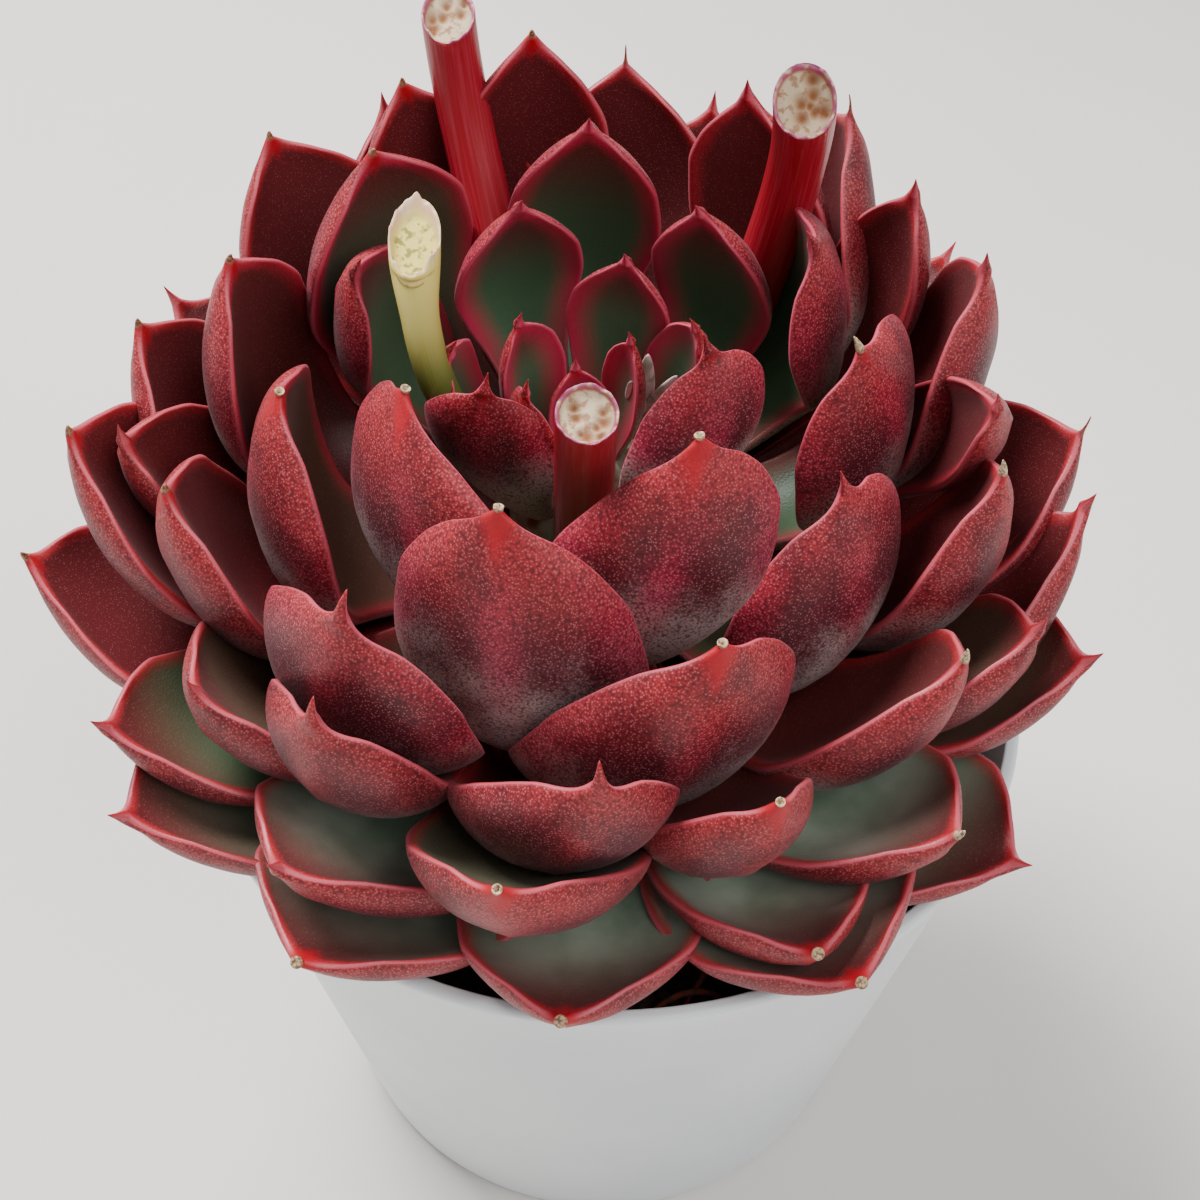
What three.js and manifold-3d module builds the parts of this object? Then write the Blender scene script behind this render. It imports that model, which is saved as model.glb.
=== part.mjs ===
// A rosette succulent in a plain tapered nursery pot, with the cut stubs of its flower stalks.
// Millimetres, +Z up, origin at the middle of the pot's underside. +Y is the rosette's back, and
// the rosette leans towards -Y. Every leaf is a thick spoon with a cupped upper face, a rounded
// margin and a sharp tip, and each one lies against the leaves inside it.
import * as THREE from 'three';
import { mergeVertices } from 'three/addons/utils/BufferGeometryUtils.js';
import Module from 'manifold-3d';

const wasm = await Module();
wasm.setup();

const TOUCH_GAP = 0.3; // clearance left between pieces that lie against each other

// Pot: thin moulded plastic, tapered, with a low band under the lip
const POT_RIM_RADIUS = 50;
const POT_BASE_RADIUS = 36.5;
const POT_HEIGHT = 70.4;
const POT_WALL = 1.6;
const POT_FLOOR = 2;
const POT_BAND_HEIGHT = 5;
const POT_BAND_STEP = 0.7;
const POT_BAND_SLOPE = 1; // height over which the wall steps out to the band
const POT_FOOT_ROUNDING = 1;
const POT_LIP_ROUNDING = 0.5;
const POT_SEGMENTS = 32;
const DRAIN_HOLES = 4;
const DRAIN_HOLE_RADIUS = 4;
const DRAIN_HOLE_CIRCLE = 24;
const DRAIN_HOLE_SIDES = 12;

// Soil: fills the pot to a few millimetres under the rim, in low crumbs
const SOIL_LEVEL = 62;
const SOIL_EDGE_DROP = 1; // how much lower the soil lies along the wall
const SOIL_CRUMB = 0.9;
const SOIL_SEGMENTS = 28;
const SOIL_RINGS = 4;

// Rosette: where its middle stands, how far it leans, and its short stem
const CROWN = new THREE.Vector3(-3, 6.5, 86.5);
const LEAN = THREE.MathUtils.degToRad(16);
const STEM_RADIUS = 8.5;
const STEM_TOP = 12;
const STEM_BOTTOM = -36;
const STEM_ROUNDING = 4;
const STEM_SHOULDER = 0.8; // share of the stem's radius where its rounded ends begin
const STEM_SIDES = 10;

// Leaf tips lie on one dome: distance from the crown for each 10 degrees away from its axis
const TIP_DISTANCE = [29, 33, 37.5, 43.5, 49.5, 53, 56.5, 59, 61, 60.5, 57.5, 54, 50];
const LEAF_WIDTH = [6, 8.5, 15, 22, 24, 24, 23.5, 23, 22, 21, 20.5, 20, 20];
const LEAF_THICKNESS = [1.6, 2.2, 3, 4.6, 5.6, 6.2, 6.4, 6.4, 6.2, 6, 6, 5.6, 5];

// Slope of a leaf at its foot and at its tip, in degrees above square to the axis, likewise
const FOOT_SLOPE = [80, 65, 40, 0, -2, 1, 6, 11, 18, 26, 16, 0, -20];
const TIP_SLOPE = [90, 98, 110, 115, 108, 98, 90, 80, 66, 52, 40, 24, 10];
const FOOT_PULL = [0.3, 0.35, 0.5, 0.82, 0.82, 0.72, 0.62, 0.54, 0.45, 0.4, 0.4, 0.4, 0.4];
const TIP_PULL = [0.4, 0.4, 0.42, 0.46, 0.44, 0.4, 0.38, 0.36, 0.34, 0.32, 0.32, 0.32, 0.32];
const HEART_EDGE = 27.5; // leaves closer to the axis than this grow together at the top of the stem
const HIGHEST_FOOT = 3;
const LOWEST_FOOT = -15;

// One leaf's outline and thickness from its foot to its tip, as shares of its full size
const LEAF_STATIONS = [0, 0.25, 0.46, 0.64, 0.81, 0.93];
const STATION_WIDTH = [0.36, 0.58, 0.86, 1, 0.84, 0.44];
const STATION_THICKNESS = [0.5, 0.84, 1, 0.96, 0.78, 0.45];

// One cross-section, anticlockwise seen from the tip: share of half width, share of thickness
const UPPER_FACE = [[1, 0.44], [0, 0.34], [-1, 0.44]];
const UNDER_FACE = [[-0.68, -0.22], [0, -0.54], [0.68, -0.22]];
const CUP = 0.12; // how far the margins rise, as a share of the leaf's width

// Every leaf: degrees round to its tip, degrees from the axis, reach added in mm, degrees that its
// foot stands further round than its tip, share of the usual width, and degrees that it turns on
// itself from foot to tip. The young leaves of the heart come first
const HEART_LEAVES = [
  [109, 4, -1], [33, 10, 0, 0, 0.8], [-147, 11], [145, 13, 0, -9, 0.9], [-180, 20, -1, -10, 0.9],
  [12, 18, 0, 30, 0.65], [69, 19, 0, 5, 0.85], [-150, 16, 2, 8, 1.15, -65], [3, 18, 2, -44, 1.15, 65],
  [111, 26, 0, 0, 0.8],
];

// Grown leaves, inside to outside
const LEAVES = [
  [-57, 26, 5, -32, 1.25, 20], [-152, 27, 0, 52, 1.55], [56, 29, -1, -2, 0.7, -13],
  [-106, 32, 3, 8, 1.15], [155, 38, -6, -17, 0.8, -30], [89, 36, 0, 3, 0.8], [27, 34, 0, 10, 1, 43],
  [2, 38, -4, 0, 1.05, 45], [-27, 41, -6, -16, 1.05, 20], [133, 42, -1], [-172, 45, -8, 8, 1.15],
  [-124, 45, 1, -3, 1.15], [163, 48, -1, 4, 0.9], [-69, 47, -2, -15, 1.15], [-10, 50, 1, 24, 0.6],
  [66, 50, 1, -16, 0.85], [35, 54, 0, 0, 0.6], [-15, 54, -1, -6, 0.8, 12], [-161, 56, -3, 2],
  [-86, 54, 2, -10, 0.95], [-121, 55, 1, -2, 0.9], [168, 63, -2, 10], [-171, 59, -1, -12, 0.75],
  [98, 53, 3, 3, 0.85], [52, 55, 3, -8, 0.95, 45], [136, 61, 1], [-139, 65, -3, 2, 1.05],
  [-37, 62, -3, -14, 0.9], [19, 54, 1, -6, 0.95, 35], [117, 59, 0, -8, 0.95], [85, 61, 1],
  [-68, 62, -1, -5, 0.75], [-26, 68, -2, -8, 0.8], [-4, 71, -1, -38, 0.9], [-97, 66, 1, 2, 1.05],
  [2, 69, 0, -5, 1.05], [-174, 63, 2, 5, 1.1], [-122, 74, -1, 14, 1.25], [-147, 77, 0, 8],
  [-49, 75, 0, -7], [118, 68, 0, -4], [41, 86, 2], [-170, 80, 2, 14, 1.1], [-22, 78, 0, -8, 1.05],
  [-67, 79, 0, 0, 1, 12], [-91, 81, 1, 4, 1.2], [-140, 82, 2, 10, 1.15], [-42, 86, 3, -9, 1.2],
  [-116, 83, 1, 6, 1.35], [-64, 82, 3, 0, 1.3], [150, 84], [90, 90],
];

// The lowest leaves of the back and sides, which stay one with the stem
const LOW_LEAVES = [
  [99, 74], [74, 75], [53, 73, -6], [140, 79, -7], [20, 88, -8], [62, 91], [122, 91], [92, 105],
  [38, 105], [150, 103], [180, 99, -3],
];

// The small dried bud beside the heart: its foot and its three points, placed as stalks are
const BUD_RADIUS = 1.6;
const BUD_FOOT = [40, 8.5, 15];
const BUD_POINTS = [[33, 8.2, 27], [18, 10.5, 25], [22, 5.5, 25.5]];
const BUD_SIDES = 5;

// Flower stalk stubs: radius, radius at the cut, and their route from the foot to the cut as
// degrees round, mm off the axis and mm up the axis. Three red ones and a slim green one
const STALKS = [
  { side: 'front', radius: 3.15, cut: 2.95, route: [[-89, 9, 2], [-88, 11.5, 26], [-87, 14.8, 42.4]] },
  { side: 'left', radius: 3.3, cut: 3.1, route: [[108, 9, -4], [109, 38, 16], [109, 49, 35]] },
  { side: 'right', radius: 3.3, cut: 3.1, route: [[54, 9, -20], [50, 31, 16], [46, 32, 44.5]] },
  { side: 'green', radius: 1.7, cut: 2, route: [[170, 5.5, 13], [-172, 14, 27], [155, 18.3, 40.7]] },
];
const STALK_SIDES = 10;
const STALK_STEPS = 4;
const STALK_RIM = 0.8; // share of the radius at the cut that the sunk pith takes
const STALK_SUNK = 0.7;

const COLOURS = {
  pot: 0xd6dbdc,
  soil: 0x231d18,
  crown: 0x3f5a3c,
  leaf: 0x8a2f3a,
  redStalk: 0x8f1a2a,
  greenStalk: 0xb9bf8f,
};
const ROUGHNESS = { pot: 0.5, soil: 0.95, crown: 0.6, leaf: 0.6, redStalk: 0.45, greenStalk: 0.45 };

// The rosette's own axes
const AXIS = new THREE.Vector3(0, -Math.sin(LEAN), Math.cos(LEAN));
const ACROSS = new THREE.Vector3(1, 0, 0);
const BACKWARD = new THREE.Vector3().crossVectors(AXIS, ACROSS);

// Small seeded random source for the soil's crumbs
let seed = 7;
function random() {
  seed = (seed * 16807) % 2147483647;
  return seed / 2147483647;
}

function outward(degrees) {
  const angle = THREE.MathUtils.degToRad(degrees);
  return ACROSS.clone().multiplyScalar(Math.cos(angle)).addScaledVector(BACKWARD, Math.sin(angle));
}

function crownPoint(degrees, off, up) {
  return CROWN.clone().addScaledVector(outward(degrees), off).addScaledVector(AXIS, up);
}

// Value of a table that has one entry for each 10 degrees away from the axis
function atPolar(table, polar) {
  const place = Math.min(polar / 10, table.length - 1.001);
  const lower = Math.floor(place);
  return THREE.MathUtils.lerp(table[lower], table[lower + 1], place - lower);
}

// Closed skin over rings of points, with a fan at each end
function loft(rings, startPoint, endPoint) {
  const sides = rings[0].length;
  const positions = [];
  const triangle = (a, b, c) => positions.push(...a.toArray(), ...b.toArray(), ...c.toArray());
  for (let side = 0; side < sides; side += 1) {
    const next = (side + 1) % sides;
    triangle(startPoint, rings[0][next], rings[0][side]);
    for (let ring = 0; ring + 1 < rings.length; ring += 1) {
      triangle(rings[ring][side], rings[ring][next], rings[ring + 1][next]);
      triangle(rings[ring][side], rings[ring + 1][next], rings[ring + 1][side]);
    }
    triangle(rings.at(-1)[side], rings.at(-1)[next], endPoint);
  }
  const geometry = new THREE.BufferGeometry();
  geometry.setAttribute('position', new THREE.Float32BufferAttribute(positions, 3));
  return geometry;
}

function toSolid(geometry) {
  const bare = geometry.clone();
  bare.deleteAttribute('normal');
  bare.deleteAttribute('uv');
  const merged = mergeVertices(bare, 1e-4);
  const mesh = new wasm.Mesh({
    numProp: 3,
    vertProperties: new Float32Array(merged.attributes.position.array),
    triVerts: new Uint32Array(merged.index.array),
  });
  return new wasm.Manifold(mesh);
}

function toGeometry(solid) {
  const mesh = solid.getMesh();
  const geometry = new THREE.BufferGeometry();
  geometry.setAttribute('position', new THREE.BufferAttribute(new Float32Array(mesh.vertProperties), 3));
  geometry.setIndex(new THREE.BufferAttribute(new Uint32Array(mesh.triVerts), 1));
  return geometry;
}

function largestPiece(solid) {
  const pieces = solid.decompose();
  return pieces.reduce((best, piece) => (piece.volume() > best.volume() ? piece : best));
}

function boxesMeet(a, b) {
  const first = a.boundingBox();
  const second = b.boundingBox();
  return [0, 1, 2].every((i) => first.min[i] < second.max[i] && second.min[i] < first.max[i]);
}

// The leaf's mid line, from the stem to the tip, in the plane that holds the rosette's axis. Inner
// leaves bow far out and stand up again at the tip, and the lowest ones lie nearly straight.
function leafLine(polar, reach) {
  const angle = THREE.MathUtils.degToRad(polar);
  const tip = new THREE.Vector2(Math.sin(angle), Math.cos(angle));
  tip.multiplyScalar(atPolar(TIP_DISTANCE, polar) + reach);
  const young = Math.min(polar / HEART_EDGE, 1);
  const foot = new THREE.Vector2(STEM_RADIUS + TOUCH_GAP, HIGHEST_FOOT);
  if (young < 1) {
    foot.set(young * STEM_RADIUS * STEM_SHOULDER, THREE.MathUtils.lerp(STEM_TOP, HIGHEST_FOOT, young));
  } else {
    foot.y = THREE.MathUtils.mapLinear(polar, HEART_EDGE, 90, HIGHEST_FOOT, LOWEST_FOOT);
  }
  const length = tip.distanceTo(foot);
  const first = THREE.MathUtils.degToRad(atPolar(FOOT_SLOPE, polar));
  const last = THREE.MathUtils.degToRad(atPolar(TIP_SLOPE, polar));
  const rise = new THREE.Vector2(Math.cos(first), Math.sin(first));
  const arrival = new THREE.Vector2(Math.cos(last), Math.sin(last));
  const footHandle = foot.clone().addScaledVector(rise, length * atPolar(FOOT_PULL, polar));
  const tipHandle = tip.clone().addScaledVector(arrival, -length * atPolar(TIP_PULL, polar));
  return new THREE.CubicBezierCurve(foot, footHandle, tipHandle, tip);
}

// One leaf, made larger all over by grow
function leafGeometry([tipDegrees, polar, reach = 0, bend = 0, share = 1, turn = 0], grow = 0) {
  const line = leafLine(polar, reach + grow);
  const fullWidth = atPolar(LEAF_WIDTH, polar) * share;
  const fullThickness = atPolar(LEAF_THICKNESS, polar);
  const rings = LEAF_STATIONS.map((station, index) => {
    const degrees = tipDegrees + bend * (1 - station * station);
    const out = outward(degrees);
    const place = line.getPoint(station);
    const along = line.getTangent(station);
    const centre = crownPoint(degrees, place.x, place.y);
    const forward = out.clone().multiplyScalar(along.x).addScaledVector(AXIS, along.y);
    const turned = -THREE.MathUtils.degToRad(turn * station);
    const side = new THREE.Vector3().crossVectors(out, AXIS).applyAxisAngle(forward, turned);
    const up = new THREE.Vector3().crossVectors(side, forward);
    const width = fullWidth * STATION_WIDTH[index];
    const thickness = fullThickness * STATION_THICKNESS[index];
    return [...UPPER_FACE, ...UNDER_FACE].map(([u, v]) => {
      const height = thickness * v + CUP * width * u * u + Math.sign(v) * grow;
      return centre.clone().addScaledVector(side, -u * (width / 2 + grow)).addScaledVector(up, height);
    });
  });
  const start = crownPoint(tipDegrees + bend, line.getPoint(0).x, line.getPoint(0).y);
  const end = crownPoint(tipDegrees, line.getPoint(1).x, line.getPoint(1).y);
  return loft(rings, start, end);
}

// A ring of points round a line that runs along the given direction
function ringRound(centre, along, radius, sides) {
  const first = new THREE.Vector3().crossVectors(along, BACKWARD).normalize();
  const second = new THREE.Vector3().crossVectors(along, first).normalize();
  return Array.from({ length: sides }, (_, index) => {
    const angle = (index / sides) * Math.PI * 2;
    return centre.clone().addScaledVector(first, Math.cos(angle) * radius)
      .addScaledVector(second, Math.sin(angle) * radius);
  });
}

// A round stub along its route, with the pith sunk a little inside the cut end
function stalkGeometry({ radius, cut, route }, grow = 0) {
  const points = route.map(([degrees, off, up]) => crownPoint(degrees, off, up));
  const curve = new THREE.CatmullRomCurve3(points);
  const rings = [];
  for (let step = 0; step <= STALK_STEPS; step += 1) {
    const share = step / STALK_STEPS;
    const thickness = THREE.MathUtils.lerp(radius, cut, share) + grow;
    rings.push(ringRound(curve.getPoint(share), curve.getTangent(share), thickness, STALK_SIDES));
  }
  const top = curve.getPoint(1);
  const along = curve.getTangent(1);
  if (grow > 0) return loft(rings, curve.getPoint(0), top);
  rings.push(ringRound(top, along, cut * STALK_RIM, STALK_SIDES));
  return loft(rings, curve.getPoint(0), top.clone().addScaledVector(along, -STALK_SUNK));
}

// The bud: three thin points that part from one foot
function budSolid() {
  const foot = crownPoint(...BUD_FOOT);
  const points = BUD_POINTS.map((place) => {
    const tip = crownPoint(...place);
    const along = tip.clone().sub(foot).normalize();
    const ring = ringRound(foot.clone().lerp(tip, 0.5), along, BUD_RADIUS, BUD_SIDES);
    return toSolid(loft([ring], foot, tip));
  });
  return points.reduce((bud, point) => bud.add(point));
}

// The stem: a short column along the rosette's axis, rounded at both ends
function stemGeometry(grow = 0) {
  const shoulder = STEM_RADIUS * STEM_SHOULDER + grow;
  const side = STEM_RADIUS + grow;
  const points = [
    new THREE.Vector2(0, STEM_BOTTOM - grow),
    new THREE.Vector2(shoulder, STEM_BOTTOM - grow),
    new THREE.Vector2(side, STEM_BOTTOM + STEM_ROUNDING),
    new THREE.Vector2(side, STEM_TOP - STEM_ROUNDING),
    new THREE.Vector2(shoulder, STEM_TOP),
    new THREE.Vector2(0, STEM_TOP + STEM_ROUNDING),
  ];
  const geometry = new THREE.LatheGeometry(points, STEM_SIDES);
  geometry.rotateX(Math.PI / 2 + LEAN);
  geometry.translate(CROWN.x, CROWN.y, CROWN.z);
  return geometry;
}

function potRadius(height) {
  return THREE.MathUtils.mapLinear(height, 0, POT_HEIGHT, POT_BASE_RADIUS, POT_RIM_RADIUS);
}

function potSolid() {
  const bandFoot = POT_HEIGHT - POT_BAND_HEIGHT;
  const wallTop = bandFoot - POT_BAND_SLOPE;
  const wallTopRadius = potRadius(bandFoot) - POT_BAND_STEP;
  const outside = [
    [0, 0],
    [POT_BASE_RADIUS - POT_FOOT_ROUNDING, 0],
    [POT_BASE_RADIUS, POT_FOOT_ROUNDING],
    [wallTopRadius, wallTop],
    [potRadius(bandFoot), bandFoot],
    [POT_RIM_RADIUS, POT_HEIGHT - POT_LIP_ROUNDING],
    [POT_RIM_RADIUS - POT_LIP_ROUNDING, POT_HEIGHT],
  ];
  const inside = [
    [POT_RIM_RADIUS - POT_WALL, POT_HEIGHT],
    [wallTopRadius - POT_WALL, wallTop],
    [POT_BASE_RADIUS - POT_WALL, POT_FLOOR],
    [0, POT_FLOOR],
  ];
  const profile = [...outside, ...inside].map(([radius, height]) => new THREE.Vector2(radius, height));
  const shell = new THREE.LatheGeometry(profile, POT_SEGMENTS);
  shell.rotateX(Math.PI / 2);
  let solid = toSolid(shell);
  for (let hole = 0; hole < DRAIN_HOLES; hole += 1) {
    const angle = (hole / DRAIN_HOLES) * Math.PI * 2;
    const length = 2 * (POT_FLOOR + TOUCH_GAP); // drilled from below the floor to just over it
    const radius = DRAIN_HOLE_RADIUS;
    const drill = new THREE.CylinderGeometry(radius, radius, length, DRAIN_HOLE_SIDES);
    drill.rotateX(Math.PI / 2);
    drill.translate(Math.cos(angle) * DRAIN_HOLE_CIRCLE, Math.sin(angle) * DRAIN_HOLE_CIRCLE, 0);
    solid = solid.subtract(toSolid(drill));
  }
  return solid;
}

// Soil: a plug that follows the inside of the pot, with a crumbly top and a hole for the stem
function soilSolid(stem) {
  const foot = POT_FLOOR + TOUCH_GAP;
  const footRadius = POT_BASE_RADIUS - POT_WALL - TOUCH_GAP;
  const topRadius = potRadius(SOIL_LEVEL) - POT_WALL - POT_BAND_STEP - TOUCH_GAP;
  const ringAt = (radius, height) => Array.from({ length: SOIL_SEGMENTS }, (_, index) => {
    const angle = (index / SOIL_SEGMENTS) * Math.PI * 2;
    return new THREE.Vector3(Math.cos(angle) * radius, Math.sin(angle) * radius, height);
  });
  const rings = [ringAt(footRadius, foot), ringAt(topRadius, SOIL_LEVEL - SOIL_EDGE_DROP)];
  for (let ring = 1; ring < SOIL_RINGS; ring += 1) {
    const crumbs = ringAt(topRadius * (1 - ring / SOIL_RINGS), SOIL_LEVEL);
    crumbs.forEach((point) => point.setZ(SOIL_LEVEL + (random() - 0.5) * 2 * SOIL_CRUMB));
    rings.push(crumbs);
  }
  const plug = loft(rings, new THREE.Vector3(0, 0, foot), new THREE.Vector3(0, 0, SOIL_LEVEL));
  return toSolid(plug).subtract(stem);
}

const rosette = new THREE.Group();

function addPiece(name, solid, finish) {
  const material = new THREE.MeshStandardMaterial({
    color: COLOURS[finish],
    roughness: ROUGHNESS[finish],
    metalness: 0,
  });
  const mesh = new THREE.Mesh(toGeometry(solid), material);
  mesh.name = name;
  rosette.add(mesh);
}

// What is left of a solid where everything around it is cut away
function cutBack(solid, around) {
  const inTheWay = around.filter((other) => boxesMeet(other, solid));
  return inTheWay.reduce((rest, other) => rest.subtract(other), solid);
}

const pot = potSolid();
addPiece('pot', pot, 'pot');
addPiece('soil', soilSolid(toSolid(stemGeometry(TOUCH_GAP))), 'soil');

// Everything already in place, a little enlarged, which a later piece is cut back to
const placed = [toSolid(stemGeometry(TOUCH_GAP))];
HEART_LEAVES.forEach((leaf) => placed.push(toSolid(leafGeometry(leaf, TOUCH_GAP))));

STALKS.forEach((stalk) => {
  const solid = cutBack(toSolid(stalkGeometry(stalk)), placed);
  const finish = stalk.side === 'green' ? 'greenStalk' : 'redStalk';
  addPiece(`flower_stalk_${stalk.side}`, largestPiece(solid), finish);
});
const stalkRoom = STALKS.map((stalk) => toSolid(stalkGeometry(stalk, TOUCH_GAP)));
placed.push(...stalkRoom, pot);

const aroundStem = [pot, ...stalkRoom];
LEAVES.forEach((leaf, index) => {
  const solid = cutBack(toSolid(leafGeometry(leaf)), placed);
  const number = String(index + 1).padStart(2, '0');
  addPiece(`leaf_${number}`, largestPiece(solid), 'leaf');
  const room = toSolid(leafGeometry(leaf, TOUCH_GAP));
  placed.push(room);
  aroundStem.push(room);
});

const heart = HEART_LEAVES.reduce(
  (solid, leaf) => solid.add(toSolid(leafGeometry(leaf))),
  toSolid(stemGeometry()).add(cutBack(budSolid(), aroundStem)),
);
const crown = LOW_LEAVES.reduce(
  (solid, leaf) => solid.add(cutBack(toSolid(leafGeometry(leaf)), aroundStem)),
  heart,
);
addPiece('stem_and_heart', largestPiece(crown), 'crown');

export default rosette;
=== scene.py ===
# A leaning rosette succulent in a plain plastic nursery pot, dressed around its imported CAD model.
# Pieces stand in the CAD model's frame in metres: +Z up, origin under the middle of the pot. Lengths
# in this file are in mm where nothing else is said.
import math

import bpy
import numpy as np
from mathutils import Matrix, Vector


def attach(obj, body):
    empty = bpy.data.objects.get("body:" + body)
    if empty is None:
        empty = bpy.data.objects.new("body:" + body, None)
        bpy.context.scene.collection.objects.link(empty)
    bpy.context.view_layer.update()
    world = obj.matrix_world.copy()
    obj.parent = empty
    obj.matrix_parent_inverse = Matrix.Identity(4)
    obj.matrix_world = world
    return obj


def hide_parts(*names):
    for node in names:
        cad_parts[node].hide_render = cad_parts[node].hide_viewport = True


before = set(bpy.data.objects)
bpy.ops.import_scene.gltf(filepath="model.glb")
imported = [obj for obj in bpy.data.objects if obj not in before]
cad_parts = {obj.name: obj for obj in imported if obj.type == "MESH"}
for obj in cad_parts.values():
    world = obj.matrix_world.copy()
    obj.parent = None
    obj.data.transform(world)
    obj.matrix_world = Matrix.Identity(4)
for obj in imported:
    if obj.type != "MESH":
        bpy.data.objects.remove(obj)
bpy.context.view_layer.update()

bl_info = {
    "name": "Potted echeveria",
    "version": (1, 0, 0),
    "blender": (4, 5, 0),
    "location": "3D View > Sidebar > Echeveria",
    "description": "Builds a leaning echeveria rosette with cut flower stalks in a nursery pot",
    "category": "Object",
}

MM = 0.001

# Pot and soil, in mm, as in the CAD model
POT_RIM_RADIUS = 50
POT_BASE_RADIUS = 36.5
POT_HEIGHT = 70.4
POT_WALL = 1.6
POT_FLOOR = 2
POT_BAND_HEIGHT = 5
POT_BAND_STEP = 0.7
POT_BAND_SLOPE = 1
POT_FOOT_ROUNDING = 1
POT_LIP_ROUNDING = 0.5
DRAIN_HOLES = 4
DRAIN_HOLE_RADIUS = 4
DRAIN_HOLE_CIRCLE = 24
SOIL_LEVEL = 62
SOIL_EDGE_DROP = 1

# Finer detail of the pot: its edges are rounded from one angle in degrees, and those that are left
# look smooth up to another
POT_SEGMENTS = 160
POT_EDGE_ROUNDING = 0.3
POT_EDGE_STEPS = 3
POT_ROUND_ANGLE = 15
POT_SMOOTH_ANGLE = 40
DRAIN_HOLE_SEGMENTS = 32

# Finer detail of the soil: its crumbs, with the least and greatest of their radius and of how high
# they lie, and how far the whole is sunk under them
SOIL_RINGS = 130
SOIL_SEGMENTS = 320
SOIL_CRUMBS = 1500
SOIL_CRUMB_RADIUS = (0.5, 1.7)
SOIL_CRUMB_PLACE = (-0.5, 0.1)
SOIL_CRUMB_HEIGHT = 1.3
SOIL_SUNK = 0.3
SOIL_SEED = 7

# Shares of the soil's rings at which its floor, its wall and the slope inside its edge end, and from
# which its crumbs stand up in full
SOIL_FLOOR_END = 0.08
SOIL_WALL_END = 0.16
SOIL_SLOPE_END = 0.3
SOIL_CRUMBS_FROM = 0.2

# Rosette, in mm and degrees, as in the CAD model
CROWN = np.array([-3, 6.5, 86.5])
LEAN = math.radians(16)
STEM_RADIUS = 8.5
STEM_TOP = 12
STEM_BOTTOM = -36
STEM_ROUNDING = 4
STEM_SHOULDER = 0.8
TOUCH_GAP = 0.3
AXIS = np.array([0, -math.sin(LEAN), math.cos(LEAN)])
ACROSS = np.array([1.0, 0, 0])
BACKWARD = np.cross(AXIS, ACROSS)

# Leaf shape for each 10 degrees between the rosette's axis and the leaf tip, as in the CAD model
TIP_DISTANCE = [29, 33, 37.5, 43.5, 49.5, 53, 56.5, 59, 61, 60.5, 57.5, 54, 50]
LEAF_WIDTH = [6, 8.5, 15, 22, 24, 24, 23.5, 23, 22, 21, 20.5, 20, 20]
LEAF_THICKNESS = [1.6, 2.2, 3, 4.6, 5.6, 6.2, 6.4, 6.4, 6.2, 6, 6, 5.6, 5]
FOOT_SLOPE = [80, 65, 40, 0, -2, 1, 6, 11, 18, 26, 16, 0, -20]
TIP_SLOPE = [90, 98, 110, 115, 108, 98, 90, 80, 66, 52, 40, 24, 10]
FOOT_PULL = [0.3, 0.35, 0.5, 0.82, 0.82, 0.72, 0.62, 0.54, 0.45, 0.4, 0.4, 0.4, 0.4]
TIP_PULL = [0.4, 0.4, 0.42, 0.46, 0.44, 0.4, 0.38, 0.36, 0.34, 0.32, 0.32, 0.32, 0.32]
HEART_EDGE = 27.5
HIGHEST_FOOT = 3
LOWEST_FOOT = -15
CUP = 0.12

# Outline and thickness of a leaf from its foot to the root of its point, as shares of full size:
# broad round shoulders, then hollow flanks that run out into the point. It is finer than in the CAD
# model, whose leaves end in a plain tip
LEAF_STATIONS = [0, 0.25, 0.46, 0.64, 0.8, 0.89, 0.94, 0.975, 1]
STATION_WIDTH = [0.36, 0.58, 0.86, 1, 0.9, 0.66, 0.41, 0.17]
STATION_THICKNESS = [0.5, 0.84, 1, 0.96, 0.8, 0.6, 0.42, 0.25]

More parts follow.
